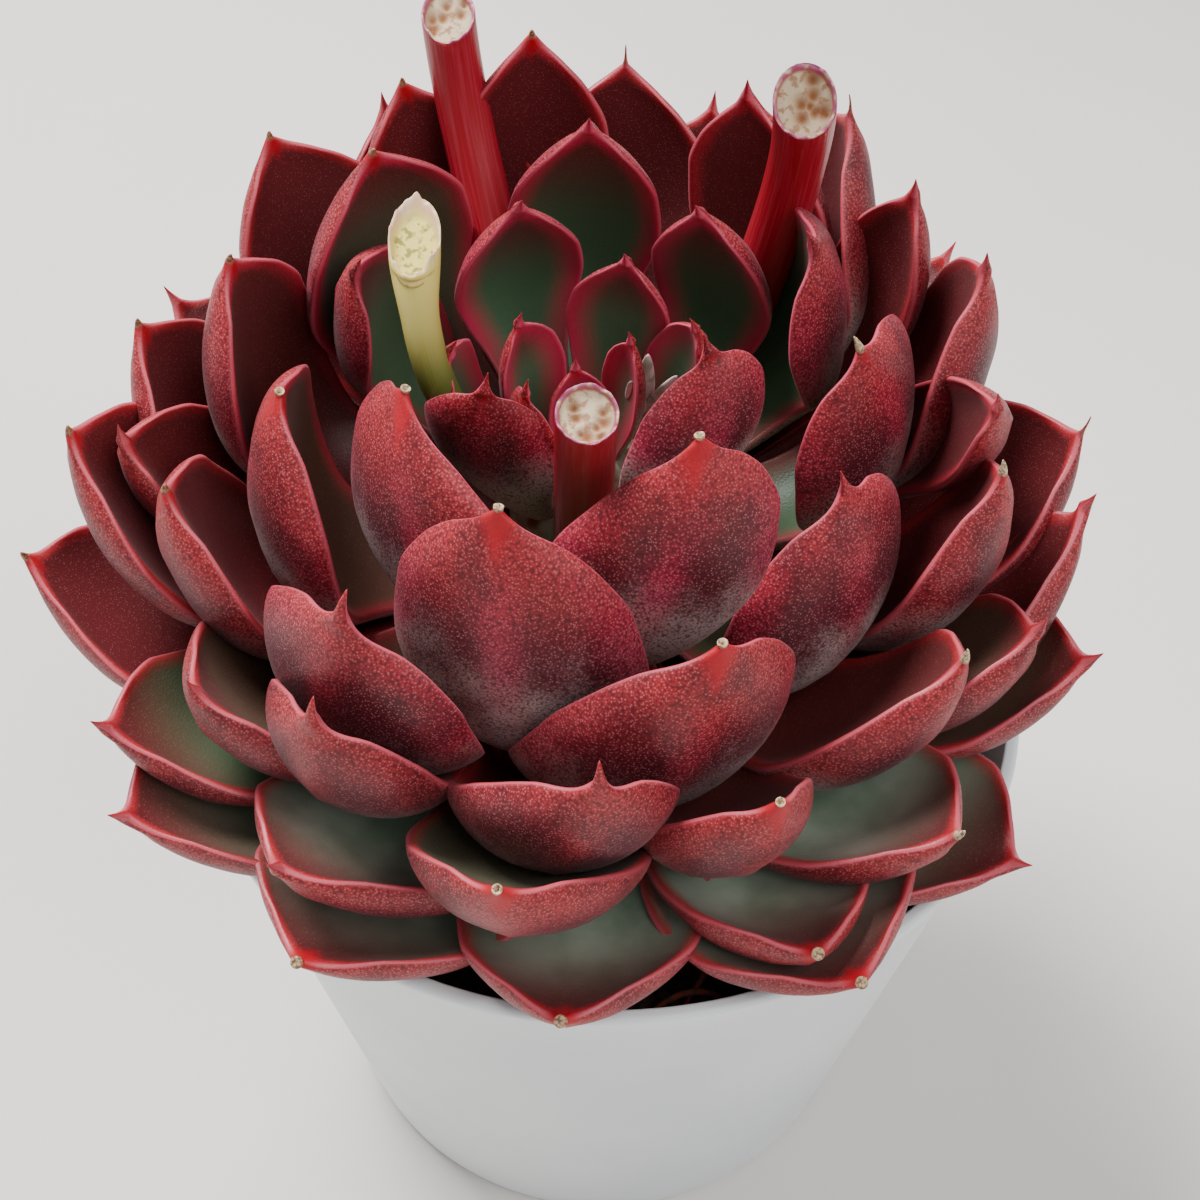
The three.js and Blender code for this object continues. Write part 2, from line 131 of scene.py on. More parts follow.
# Leaf plan, as in the CAD model: degrees round, degrees from the axis, reach in mm, degrees that the
# foot stands further round than the tip, share of the usual width, degrees that it turns on itself
HEART_LEAVES = [
    (109, 4, -1), (33, 10, 0, 0, 0.8), (-147, 11), (145, 13, 0, -9, 0.9), (-180, 20, -1, -10, 0.9),
    (12, 18, 0, 30, 0.65), (69, 19, 0, 5, 0.85), (-150, 16, 2, 8, 1.15, -65), (3, 18, 2, -44, 1.15, 65),
    (111, 26, 0, 0, 0.8),
]
LEAVES = [
    (-57, 26, 5, -32, 1.25, 20), (-152, 27, 0, 52, 1.55), (56, 29, -1, -2, 0.7, -13),
    (-106, 32, 3, 8, 1.15), (155, 38, -6, -17, 0.8, -30), (89, 36, 0, 3, 0.8), (27, 34, 0, 10, 1, 43),
    (2, 38, -4, 0, 1.05, 45), (-27, 41, -6, -16, 1.05, 20), (133, 42, -1), (-172, 45, -8, 8, 1.15),
    (-124, 45, 1, -3, 1.15), (163, 48, -1, 4, 0.9), (-69, 47, -2, -15, 1.15), (-10, 50, 1, 24, 0.6),
    (66, 50, 1, -16, 0.85), (35, 54, 0, 0, 0.6), (-15, 54, -1, -6, 0.8, 12), (-161, 56, -3, 2),
    (-86, 54, 2, -10, 0.95), (-121, 55, 1, -2, 0.9), (168, 63, -2, 10), (-171, 59, -1, -12, 0.75),
    (98, 53, 3, 3, 0.85), (52, 55, 3, -8, 0.95, 45), (136, 61, 1), (-139, 65, -3, 2, 1.05),
    (-37, 62, -3, -14, 0.9), (19, 54, 1, -6, 0.95, 35), (117, 59, 0, -8, 0.95), (85, 61, 1),
    (-68, 62, -1, -5, 0.75), (-26, 68, -2, -8, 0.8), (-4, 71, -1, -38, 0.9), (-97, 66, 1, 2, 1.05),
    (2, 69, 0, -5, 1.05), (-174, 63, 2, 5, 1.1), (-122, 74, -1, 14, 1.25), (-147, 77, 0, 8),
    (-49, 75, 0, -7), (118, 68, 0, -4), (41, 86, 2), (-170, 80, 2, 14, 1.1), (-22, 78, 0, -8, 1.05),
    (-67, 79, 0, 0, 1, 12), (-91, 81, 1, 4, 1.2), (-140, 82, 2, 10, 1.15), (-42, 86, 3, -9, 1.2),
    (-116, 83, 1, 6, 1.35), (-64, 82, 3, 0, 1.3), (150, 84), (90, 90),
]
LOW_LEAVES = [
    (99, 74), (74, 75), (53, 73, -6), (140, 79, -7), (20, 88, -8), (62, 91), (122, 91), (92, 105),
    (38, 105), (150, 103), (180, 99, -3),
]
PLAIN_LEAF = (0, 0, 0, 0, 1, 0)

# A leaf's section over the share u of its half width, as shares of its thickness: the face rises
# from its middle to a bead by the margin and drops over the lip, and the back bulges, with a keel
CORNER_CROWDING = 0.7
FACE_MIDDLE = 0.34
FACE_RISE = 0.1
BEAD_PLACE = 0.94
BEAD_SPREAD = 0.05
BEAD_HEIGHT = 0.04
LIP_START = 0.88
LIP_DROP = 0.14
BACK_EDGE = 0.3
BACK_BULGE = 0.84
BACK_SQUARENESS = 2.6
BACK_FULLNESS = 0.6
KEEL_SPREAD = 0.13
KEEL_HEIGHT = 0.07
KEEL_FROM = (0.35, 0.9)  # shares of the blade over which it rises

# A leaf's mid line is this much longer than its chord, its rings crowd towards its tip, and its
# section turns round over the last of its blade, into a point that is smaller on a narrow leaf
LINE_OVER_CHORD = 1.12
RING_CROWDING = 1.4
ROUND_FROM = 0.93
FULL_POINT_WIDTH = 20
LEAST_POINT_SIZE = 0.5
DRY_FROM = (0.02, 0.25)  # shares of the point over which it turns dry

# Waves of a leaf's margin: radians along the blade, and height. Then how far each leaf shifts them
LONG_WAVE = (7, 0.35)
SHORT_WAVE = (15, 0.12)
WAVE_SHIFT = 3

# How sharply the face turns into the back at the margin, and the grain of the skin in steps for each
# mm across, for each mm along and for each leaf
SIDE_SHARPNESS = 6
LEAF_GRAIN = (3, 0.12, 7.0)

# Where leaves change, as start and end of a smooth step over their degrees from the axis: young
# ones are green, old ones redder at the margin and low ones at the front whitish with wax and a
# painted sheen that makes them paler towards the camera. The front is a step over the cosine of
# the angle round from it
GREEN_UNTIL = (34, 50)
OLD_FROM = (25, 60)
LOW_FROM = (60, 76)
FRONT_FROM = (0.2, 0.85)
# At 1 a low front leaf is whitish with wax and a painted sheen
YOUNG_GREEN = 0.6  # how green young leaves are, where 1 is a bloomy low one

# The point of a leaf by its kind: its radius and its distance past the blade in mm, in even steps
# from its root to its end, how far it hooks inwards in mm, how dry it is and how pale
LEAF_POINTS = {
    "sharp": ((0.75, 0.5, 0.3, 0.15, 0.03), (0, 0.7, 1.4, 2.1, 2.8), 0.2, 0, 0),
    "spine": ((0.8, 0.58, 0.4, 0.24, 0.05), (0, 0.8, 1.6, 2.4, 3.2), 0.9, 0, 0),
    "thread": ((0.42, 0.2, 0.13, 0.1, 0.05), (0, 0.8, 1.7, 2.6, 3.4), 0.5, 0.5, 0),
    "ivory": ((0.5, 0.44, 0.33, 0.2, 0.06), (0, 0.6, 1.2, 1.8, 2.3), 0.3, 1, 0.8),
    "socket": ((0.42, 0.5, 0.5, 0.26, 0.02), (0, 0.35, 0.5, 0.4, -0.2), 0, 1, 0.6),
    "scab": ((0.5, 0.66, 0.6, 0.38, 0.05), (0, 0.3, 0.5, 0.55, 0.4), 0, 1, 0.3),
    "frayed": ((0.5, 0.4, 0.3, 0.2, 0.1), (0, 0.3, 0.65, 0.95, 1.2), 0.2, 0.9, 0),
}
POINT_OF_LEAF = {
    "socket": (1, 2, 4, 11, 14, 32, 35),
    "ivory": (8, 18, 28, 40),
    "scab": (45, 46, 49, 50),
    "frayed": (10, 13, 19, 22, 24, 26, 30, 37, 43),
    "thread": (25, 31, 36),
    "spine": (12, 20, 21),
}

# Flower stalk stubs, as in the CAD model: radius, radius at the cut, and route from the foot to the
# cut as degrees round, mm off the axis and mm up the axis. Then how far the cut slopes to the front,
# in mm, the share that the end is swollen, how many hollows the pith has and how deep it lies, in mm
STALKS = {
    "front": (3.15, 2.95, ((-89, 9, 2), (-88, 11.5, 26), (-87, 14.8, 42.4)), 0, 0, 9, 0.7),
    "left": (3.3, 3.1, ((108, 9, -4), (109, 38, 16), (109, 49, 35)), 1.6, 0, 9, 0.7),
    "right": (3.3, 3.1, ((54, 9, -20), (50, 31, 16), (46, 32, 44.5)), 1.8, 0.05, 9, 0.7),
    "green": (1.7, 2, ((170, 5.5, 13), (-172, 14, 27), (155, 18.3, 40.7)), 3, 0.3, 0, 2.2),
}

# The dried bud, as in the CAD model, and fine roots on the soil: routes and radii. Its petals are
# flat and sag in the middle, and petals and roots are a little fuller than a spindle
BUD_FOOT = (40, 8.5, 15)
BUD_POINTS = ((33, 8.2, 27), (18, 10.5, 25), (22, 5.5, 25.5))
BUD_RADIUS = 1.1
BUD_FLATNESS = 0.45
BUD_SAG = 0.5
SLIVER_FULLNESS = 0.6
ROOTS = (
    ((4, -45, 62), (9, -43, 65), (14, -43, 62.5), 0.4),
    ((8, -44, 62), (11, -40, 64.5), (12, -36, 62), 0.35),
    ((26, -36, 62), (32, -32, 64), (36, -28, 62), 0.35),
    ((-33, -30, 62), (-30, -35, 64), (-25, -38, 62), 0.3),
)

# Camera of the photographed view: degrees down, degrees of roll, and sizes and place in mm
CAMERA_TILT = 44.3
CAMERA_ROLL = 0.75
CAMERA_PLACE = (-0.831, -134.96, 212.45)
CAMERA_LENS = 48
CAMERA_SENSOR = 36
CAMERA_NEAR = 10

# Soft studio lights by name: place and size in metres, and power in watts. Then the spot that they
# face, and the floor's size, in metres too
LIGHTS = {
    "window_light": ((-0.3, 0.25, 0.75), 0.35, 14.0),
    "fill_light": ((0.45, -0.35, 0.7), 0.6, 5.0),
}
LIT_SPOT = (0, 0, 0.09)
SKY_STRENGTH = 0.6
FLOOR_SIZE = 6

# Rings and segments of the round forms that become leaves, stalks and smaller pieces
LEAF_RINGS = 72
LEAF_SEGMENTS = 48
BLADE_RINGS = 0.86  # share of a leaf's rings that its blade takes, before its point
CLOSING_RINGS = 2  # rings over which its foot closes
STALK_FINENESS = (90, 64)
BUD_FINENESS = (28, 16)
ROOT_FINENESS = (40, 10)
STEM_FINENESS = (24, 32)


def linear(code):
    """An sRGB hex colour as linear red, green, blue and full opacity."""
    channels = [int(code[i:i + 2], 16) / 255 for i in (1, 3, 5)]
    return [c / 12.92 if c <= 0.04045 else ((c + 0.055) / 1.055) ** 2.4 for c in channels] + [1.0]


def colour_property(name, description, code):
    """A colour that the user can set, from its sRGB hex code."""
    return bpy.props.FloatVectorProperty(
        name=name, description=description, subtype="COLOR", size=4, min=0, max=1,
        default=linear(code))


def length_property(name, description, value):
    """A length that the user can set, in metres."""
    return bpy.props.FloatProperty(
        name=name, description=description, subtype="DISTANCE", unit="LENGTH", default=value)


class EcheveriaLeafLook(bpy.types.PropertyGroup):
    """Colours and fine sizes of the leaves."""
    back_foot: colour_property("Back at the foot", "Bloomy grey cream", "#a89a96")
    back_middle: colour_property("Back in the middle", "Wine", "#551522")
    back_blotch: colour_property("Back blotches", "Darker wine", "#3a0d16")
    back_tip: colour_property("Back at the tip", "Coral red", "#9e2228")
    speckle: colour_property("Speckles", "Pinkish white papillae", "#cc8a8a")
    face_green: colour_property("Face of young leaves", "Dark grey green", "#46664a")
    # Whitish wax, which on low faces towards the camera is also a painted sheen
    wax_and_painted_sheen: colour_property("Bloom", "Whitish green wax on low leaves", "#a2ac9c")
    face_dark: colour_property("Face of old leaves", "Blackish maroon", "#58191d")
    margin_young: colour_property("Margin of young leaves", "Magenta pink", "#b42048")
    margin_old: colour_property("Margin of old leaves", "Coral red", "#a0222a")
    # The margin line is a painted highlight: a thin pale pink line along the crest of the margin
    margin_highlight_painted: colour_property("Margin line", "Pale pink ridge", "#d87484")
    point: colour_property("Point", "Clear crimson", "#a8081a")
    dry: colour_property("Dried point", "Tan", "#9a7450")
    dry_pale: colour_property("Pale dried point", "Ivory", "#dcc49c")
    papilla: length_property("Papilla", "Distance between the speckles", 0.28 * MM)
    margin_width: length_property("Margin width", "Width of the red band", 2.8 * MM)


class EcheveriaStalkLook(bpy.types.PropertyGroup):
    """Colours of the flower stalk stubs."""
    red: colour_property("Red skin", "Deep glossy red", "#92101e")
    red_streak: colour_property("Red streaks", "Pinkish wine", "#a83446")
    green_foot: colour_property("Green foot", "Olive green", "#4f5c26")
    green_head: colour_property("Green head", "Cream yellow", "#decb6e")
    rind: colour_property("Rind at the cut", "Purplish pink", "#b25a82")
    rind_green: colour_property("Rind of the green stalk", "Pinkish cream", "#d8a890")
    pith: colour_property("Pith", "Cream", "#d2bd9c")
    hollow: colour_property("Hollows in the pith", "Rusty brown", "#8a5430")


class EcheveriaPotLook(bpy.types.PropertyGroup):
    """Colours of the pot, the soil and what lies on it."""
    plastic: colour_property("Pot", "Cool white", "#e2e6e7")
    soil: colour_property("Soil", "Blackish brown", "#1a130e")
    soil_light: colour_property("Light crumbs", "Peat brown", "#4a3526")
    root: colour_property("Roots", "Reddish brown", "#7a3020")
    bud: colour_property("Dried bud", "Pinkish white", "#e2c2c6")
    bud_foot: colour_property("Foot of the bud", "Grey green", "#9a9a86")


def add_node(tree, kind, settings=None, output=0, **inputs):
    """Adds a node, sets its properties, gives its inputs values or links, and returns an output."""
    node = tree.nodes.new(kind)
    for key, value in (settings or {}).items():
        setattr(node, key, value)
    for key, value in inputs.items():
        place = int(key[1:]) if key[1:].isdigit() else key.replace("_", " ")
        if isinstance(value, bpy.types.NodeSocket):
            tree.links.new(value, node.inputs[place])
        else:
            node.inputs[place].default_value = value
    return node.outputs[output] if node.outputs else None


# Settings of the nodes that the materials use again and again. A colour mix has its factor at input
# 0, its colours at inputs 6 and 7 and its result at output 2. A map range has its value at input 0,
# the ends of the range that this comes from at 1 and 2, and of the one that it goes to at 3 and 4
COLOUR_MIX = {"data_type": "RGBA"}
SMOOTH = {"interpolation_type": "SMOOTHSTEP"}
TIMES = {"operation": "MULTIPLY"}
PLUS = {"operation": "ADD"}
LARGER = {"operation": "MAXIMUM"}


def new_material(name):
    """A material with an empty tree, and that tree."""
    material = bpy.data.materials.new(name)
    material.use_nodes = True
    material.node_tree.nodes.clear()
    return material, material.node_tree


def leaf_material(look):
    """Living leaf, grown: a matte back that papillae cover, which gives a fine frosted salt and
    pepper over wine and coral, and a smoother waxy face, dark in the middle with a red margin."""
    material, tree = new_material("living_leaf_waxy_speckled")
    place = add_node(tree, "ShaderNodeTexCoord", output="Object")
    field = {
        name: add_node(tree, "ShaderNodeAttribute", {"attribute_name": name}, "Fac")
        for name in ("along", "edge_mm", "across_mm", "tip_mm", "face", "dry", "pale", "green", "age")
    }
    grain = add_node(tree, "ShaderNodeAttribute", {"attribute_name": "grain"}, "Vector")
    blotches = add_node(tree, "ShaderNodeTexNoise", _0=place, Scale=150.0, Detail=3.0)
    # Papillae are about 0.25 mm apart, and are drawn a little further apart so that they show
    papillae = add_node(tree, "ShaderNodeTexVoronoi", _0=place, Scale=1 / look.papilla)
    streaks = add_node(tree, "ShaderNodeTexNoise", _0=grain, Scale=1.0, Detail=2.0)

    # Back: grey at the foot, blotched wine, then coral towards the tip and the upper margin
    shift = add_node(tree, "ShaderNodeMapRange", _0=blotches, _1=0.3, _2=0.7, _3=-0.07, _4=0.07)
    ripe = add_node(tree, "ShaderNodeMath", PLUS, _0=field["along"], _1=shift)
    wine = add_node(tree, "ShaderNodeMapRange", SMOOTH, _0=ripe, _1=0.46, _2=0.78)
    back = add_node(
        tree, "ShaderNodeMix", COLOUR_MIX, 2, _0=wine, _6=look.back_foot, _7=look.back_middle)
    by_edge = add_node(
        tree, "ShaderNodeMapRange", SMOOTH, _0=field["edge_mm"], _1=0.0, _2=4.5, _3=0.6, _4=0.0)
    by_edge = add_node(tree, "ShaderNodeMath", TIMES, _0=by_edge, _1=wine)
    by_tip = add_node(
        tree, "ShaderNodeMapRange", SMOOTH, _0=field["tip_mm"], _1=2.0, _2=13.0, _3=0.9, _4=0.0)
    keel = add_node(
        tree, "ShaderNodeMapRange", SMOOTH, _0=field["across_mm"], _1=0.2, _2=3.5, _3=0.6, _4=0.0)
    down = add_node(
        tree, "ShaderNodeMapRange", SMOOTH, _0=field["tip_mm"], _1=8.0, _2=24.0, _3=1.0, _4=0.0)
    keel = add_node(tree, "ShaderNodeMath", TIMES, _0=keel, _1=down)
    redness = add_node(tree, "ShaderNodeMath", LARGER, _0=by_edge, _1=keel)
    warmth = add_node(
        tree, "ShaderNodeMix", COLOUR_MIX, 2, _0=field["age"], _6=look.margin_young, _7=look.back_tip)
    dark = add_node(
        tree, "ShaderNodeMapRange", SMOOTH, _0=blotches, _1=0.45, _2=0.75, _3=0.0, _4=0.6)
    dark = add_node(tree, "ShaderNodeMath", TIMES, _0=dark, _1=wine)
    pepper = add_node(
        tree, "ShaderNodeMapRange", SMOOTH, _0=papillae, _1=0.45, _2=0.85, _3=0.0, _4=0.7)
    salt = add_node(
        tree, "ShaderNodeMapRange", SMOOTH, _0=papillae, _1=0.05, _2=0.4, _3=0.5, _4=0.0)
    for layer, colour in (
        (redness, warmth), (by_tip, look.back_tip), (dark, look.back_blotch),
        (pepper, look.back_blotch), (salt, look.speckle),
    ):
        back = add_node(tree, "ShaderNodeMix", COLOUR_MIX, 2, _0=layer, _6=back, _7=colour)

    # Face: green on young and low front leaves, maroon on the others and towards every tip, with a
    # red margin that ends in a painted highlight, a thin pale line along the crest of the margin
    worn = add_node(tree, "ShaderNodeMapRange", SMOOTH, _0=field["along"], _1=0.6, _2=1.0)
    plain = add_node(tree, "ShaderNodeMapRange", _0=field["green"], _1=0.0, _2=0.6, _3=1.0, _4=0.0)
    worn = add_node(tree, "ShaderNodeMath", LARGER, _0=worn, _1=plain)
    # Whitish wax on low front faces, partly a painted sheen that makes faces towards the camera paler
    wax_and_sheen = add_node(
        tree, "ShaderNodeMapRange", SMOOTH, _0=field["green"], _1=0.6, _2=1.0, _3=0.0, _4=0.6)
    smear = add_node(tree, "ShaderNodeMapRange", SMOOTH, _0=blotches, _1=0.3, _2=0.7, _3=0.6, _4=1.3)
    wax_and_sheen = add_node(tree, "ShaderNodeMath", TIMES, _0=wax_and_sheen, _1=smear)
    width = look.margin_width / MM
    uneven = add_node(tree, "ShaderNodeMapRange", _0=streaks, _3=-0.4, _4=0.4)
    inset = add_node(tree, "ShaderNodeMath", PLUS, _0=field["edge_mm"], _1=uneven)
    wider = add_node(tree, "ShaderNodeMapRange", _0=field["age"], _3=1.5 * width, _4=0.8 * width)
    band = add_node(tree, "ShaderNodeMapRange", SMOOTH, _0=inset, _1=0.0, _2=wider, _3=1.0, _4=0.0)
    grown = add_node(
        tree, "ShaderNodeMapRange", SMOOTH, _0=field["along"], _1=0.05, _2=0.5, _3=0.3, _4=1.0)
    band = add_node(tree, "ShaderNodeMath", TIMES, _0=band, _1=grown)
    margin = add_node(
        tree, "ShaderNodeMix", COLOUR_MIX, 2, _0=field["age"], _6=look.margin_young, _7=look.margin_old)
    sparkle = add_node(
        tree, "ShaderNodeMapRange", SMOOTH, _0=papillae, _1=0.08, _2=0.25, _3=0.35, _4=0.0)
    sparkle = add_node(tree, "ShaderNodeMath", TIMES, _0=sparkle, _1=worn)
    # Painted highlight: a thin pale line along the crest of the margin, where light catches it
    ridge_highlight = add_node(
        tree, "ShaderNodeMapRange", SMOOTH, _0=field["edge_mm"], _1=0.1, _2=0.6, _3=0.35, _4=0.0)
    ridge_highlight = add_node(tree, "ShaderNodeMath", TIMES, _0=ridge_highlight, _1=grown)
    face = look.face_green
    for layer, colour in (
        (wax_and_sheen, look.wax_and_painted_sheen), (worn, look.face_dark), (band, margin), (sparkle, look.speckle),
        (ridge_highlight, look.margin_highlight_painted),
    ):
        face = add_node(tree, "ShaderNodeMix", COLOUR_MIX, 2, _0=layer, _6=face, _7=colour)

    # Both sides meet at the margin and end in a crimson or a dried point
    wedge = add_node(tree, "ShaderNodeMath", TIMES, _0=field["across_mm"], _1=1.5)
    wedge = add_node(tree, "ShaderNodeMath", PLUS, _0=field["tip_mm"], _1=wedge)
    at_point = add_node(
        tree, "ShaderNodeMapRange", SMOOTH, _0=wedge, _1=1.5, _2=5.0, _3=0.95, _4=0.0)
    scab = add_node(tree, "ShaderNodeMix", COLOUR_MIX, 2, _0=field["pale"], _6=look.dry, _7=look.dry_pale)
    crust = add_node(
        tree, "ShaderNodeMapRange", SMOOTH, _0=papillae, _1=0.4, _2=0.8, _3=0.0, _4=0.75)
    scab = add_node(tree, "ShaderNodeMix", COLOUR_MIX, 2, _0=crust, _6=scab, _7=look.back_blotch)
    skin = back
    for layer, colour in ((field["face"], face), (at_point, look.point), (field["dry"], scab)):
        skin = add_node(tree, "ShaderNodeMix", COLOUR_MIX, 2, _0=layer, _6=skin, _7=colour)
    rough = add_node(tree, "ShaderNodeMapRange", _0=field["face"], _3=0.52, _4=0.42)
    bump = add_node(
        tree, "ShaderNodeBump", {"invert": True}, Strength=0.35, Distance=0.06 * MM, Height=papillae)
    shader = add_node(
        tree, "ShaderNodeBsdfPrincipled", Base_Color=skin, Roughness=rough, Normal=bump, IOR=1.42,
        Sheen_Weight=0.06, Sheen_Roughness=0.4, Sheen_Tint=linear("#f2d6d8"))
    add_node(tree, "ShaderNodeOutputMaterial", Surface=shader)
    return material


def stalk_material(look, green):
    """Living stalk, cut: smooth skin with fine lengthwise streaks, a torn rind and a crumbly pith,
    which give a satin sheen along the stub and a dull pitted end."""
    material, tree = new_material("living_green_stalk" if green else "living_red_stalk")
    grain = add_node(tree, "ShaderNodeAttribute", {"attribute_name": "grain"}, "Vector")
    along, rind, pith, hollow = (
        add_node(tree, "ShaderNodeAttribute", {"attribute_name": name}, "Fac")
        for name in ("along", "rind", "pith", "hollow")
    )
    place = add_node(tree, "ShaderNodeTexCoord", output="Object")
    streaks = add_node(tree, "ShaderNodeTexNoise", _0=grain, Scale=1.0, Detail=3.0)
    crumbs = add_node(tree, "ShaderNodeTexNoise", _0=place, Scale=1100.0, Detail=4.0)
    if green:
        higher = add_node(tree, "ShaderNodeMapRange", SMOOTH, _0=along, _1=0.55, _2=0.95)
        skin = add_node(
            tree, "ShaderNodeMix", COLOUR_MIX, 2, _0=higher, _6=look.green_foot, _7=look.green_head)
        rim_colour, core, hole = look.rind_green, look.green_head, look.green_foot
    else:
        streaked = add_node(
            tree, "ShaderNodeMapRange", SMOOTH, _0=streaks, _1=0.4, _2=0.8, _3=0.0, _4=0.6)
        skin = add_node(tree, "ShaderNodeMix", COLOUR_MIX, 2, _0=streaked, _6=look.red, _7=look.red_streak)
        rim_colour, core, hole = look.rind, look.pith, look.hollow
    torn = add_node(tree, "ShaderNodeMapRange", SMOOTH, _0=crumbs, _1=0.45, _2=0.65, _3=0.0, _4=0.8)
    rim = add_node(tree, "ShaderNodeMix", COLOUR_MIX, 2, _0=torn, _6=rim_colour, _7=look.pith)
    skin = add_node(tree, "ShaderNodeMix", COLOUR_MIX, 2, _0=rind, _6=skin, _7=rim)
    spotted = add_node(tree, "ShaderNodeMapRange", SMOOTH, _0=crumbs, _1=0.5, _2=0.62, _3=0.0, _4=0.7)
    spotted = add_node(tree, "ShaderNodeMath", LARGER, _0=spotted, _1=hollow)
    core = add_node(tree, "ShaderNodeMix", COLOUR_MIX, 2, _0=spotted, _6=core, _7=hole)
    skin = add_node(tree, "ShaderNodeMix", COLOUR_MIX, 2, _0=pith, _6=skin, _7=core)
    rough = add_node(tree, "ShaderNodeMapRange", _0=pith, _3=0.35, _4=0.9)
    loose = add_node(tree, "ShaderNodeMath", TIMES, _0=crumbs, _1=pith)
    relief = add_node(tree, "ShaderNodeMath", PLUS, _0=streaks, _1=loose)
    bump = add_node(tree, "ShaderNodeBump", Strength=0.4, Distance=0.15 * MM, Height=relief)
    shader = add_node(
        tree, "ShaderNodeBsdfPrincipled", Base_Color=skin, Roughness=rough, Normal=bump, IOR=1.42)
    add_node(tree, "ShaderNodeOutputMaterial", Surface=shader)
    return material


def grained_material(name, first, second, grain_mm, roughness, relief_mm):
    """One surface with a grain of two colours: the size of the grain and its height tell moulded
    plastic, which looks even and satin, from peat, which looks rough and dull."""
    material, tree = new_material(name)
    place = add_node(tree, "ShaderNodeTexCoord", output="Object")
    grain = add_node(tree, "ShaderNodeTexNoise", _0=place, Scale=1 / (grain_mm * MM), Detail=3.0)
    share = add_node(tree, "ShaderNodeMapRange", SMOOTH, _0=grain, _1=0.38, _2=0.68)
    colour = add_node(tree, "ShaderNodeMix", COLOUR_MIX, 2, _0=share, _6=first, _7=second)
    bump = add_node(tree, "ShaderNodeBump", Strength=0.5, Distance=relief_mm * MM, Height=grain)
    shader = add_node(
        tree, "ShaderNodeBsdfPrincipled", Base_Color=colour, Roughness=roughness, Normal=bump)
    add_node(tree, "ShaderNodeOutputMaterial", Surface=shader)
    return material


def at_polar(table, polar):
    """The value of a table that has one entry for each 10 degrees away from the axis."""
    return float(np.interp(polar / 10, range(len(table)), table))


def outward(degrees):
    """The direction away from the rosette's axis at each angle round it."""
    angle = np.radians(degrees)
    return np.multiply.outer(np.cos(angle), ACROSS) + np.multiply.outer(np.sin(angle), BACKWARD)


def crown_point(degrees, off, up):
    """A place given round, off and up the rosette's axis."""
    return CROWN + outward(degrees) * np.expand_dims(off, -1) + np.multiply.outer(up, AXIS)


def rise(values, low, high):
    """Values turned into a smooth step from 0 at low to 1 at high."""
    share = np.clip((values - low) / (high - low), 0, 1)
    return share * share * (3 - 2 * share)


def smooth_curve(stations, values, share):
    """The value at each share on a smooth curve through the stations that doesn't overshoot."""
    x, y = np.array(stations, float), np.array(values, float)
    step = np.diff(y) / np.diff(x)
    product = step[1:] * step[:-1]
    inner = np.where(product > 0, 2 * product / (step[1:] + step[:-1] + 1e-12), 0)
    slope = np.concatenate([step[:1], inner, step[-1:]])
    i = np.clip(np.searchsorted(x, share, "right") - 1, 0, len(x) - 2)
    h = x[i + 1] - x[i]
    t = (share - x[i]) / h
    start = (2 * t ** 3 - 3 * t ** 2 + 1) * y[i] + (t ** 3 - 2 * t ** 2 + t) * h * slope[i]
    end = (3 * t ** 2 - 2 * t ** 3) * y[i + 1] + (t ** 3 - t ** 2) * h * slope[i + 1]
    return start + end


def deselect():
    """Leaves nothing selected, so that an operator works on its own piece alone."""
    bpy.ops.object.select_all(action="DESELECT")


def round_form(name, rings, segments):
    """A UV sphere to be shaped, and each vertex's share of the way up and share of the way round."""
    deselect()
    bpy.ops.mesh.primitive_uv_sphere_add(segments=segments, ring_count=rings, radius=1)
    piece = bpy.context.object
    piece.name = name
    piece.data.name = name
    places = np.empty(len(piece.data.vertices) * 3)
    piece.data.vertices.foreach_get("co", places)
    x, y, z = places.reshape(-1, 3).T
    up = np.round((1 - np.arccos(np.clip(z, -1, 1)) / math.pi) * rings) / rings
    around = np.round((np.arctan2(y, x) / (2 * math.pi) % 1) * segments) % segments / segments
    return piece, up, around


def copy_form(form, name):
    """A new piece that starts as a copy of a round form."""
    piece = bpy.data.objects.new(name, form.data.copy())
    piece.data.name = piece.name
    bpy.context.scene.collection.objects.link(piece)
    return piece


def set_places(mesh, places):
    """Moves a mesh's vertices to places in mm."""
    mesh.vertices.foreach_set("co", (np.asarray(places) * MM).ravel())
    mesh.update()


def set_values(mesh, **fields):
    """Stores a number or a vector for each vertex under each name."""
    for name, values in fields.items():
        values = np.asarray(values, float)
        kind, key = ("FLOAT_VECTOR", "vector") if values.ndim == 2 else ("FLOAT", "value")
        field = mesh.attributes.new(name, kind, "POINT")
        field.data.foreach_set(key, values.ravel())


def leaf_line(polar, reach):
    """The four points of a leaf's mid line, each off and up the rosette's axis."""
    angle = math.radians(polar)
    tip = np.array([math.sin(angle), math.cos(angle)]) * (at_polar(TIP_DISTANCE, polar) + reach)
    young = polar / HEART_EDGE
    if young < 1:
        foot = [young * STEM_RADIUS * STEM_SHOULDER, STEM_TOP + (HIGHEST_FOOT - STEM_TOP) * young]
    else:
        drop = (polar - HEART_EDGE) / (90 - HEART_EDGE)
        foot = [STEM_RADIUS + TOUCH_GAP, HIGHEST_FOOT + (LOWEST_FOOT - HIGHEST_FOOT) * drop]
    foot = np.array(foot)
    length = np.linalg.norm(tip - foot)
    first = math.radians(at_polar(FOOT_SLOPE, polar))
    last = math.radians(at_polar(TIP_SLOPE, polar))
    foot_handle = foot + np.array([math.cos(first), math.sin(first)]) * length * at_polar(FOOT_PULL, polar)
    tip_handle = tip - np.array([math.cos(last), math.sin(last)]) * length * at_polar(TIP_PULL, polar)
    return foot, foot_handle, tip_handle, tip


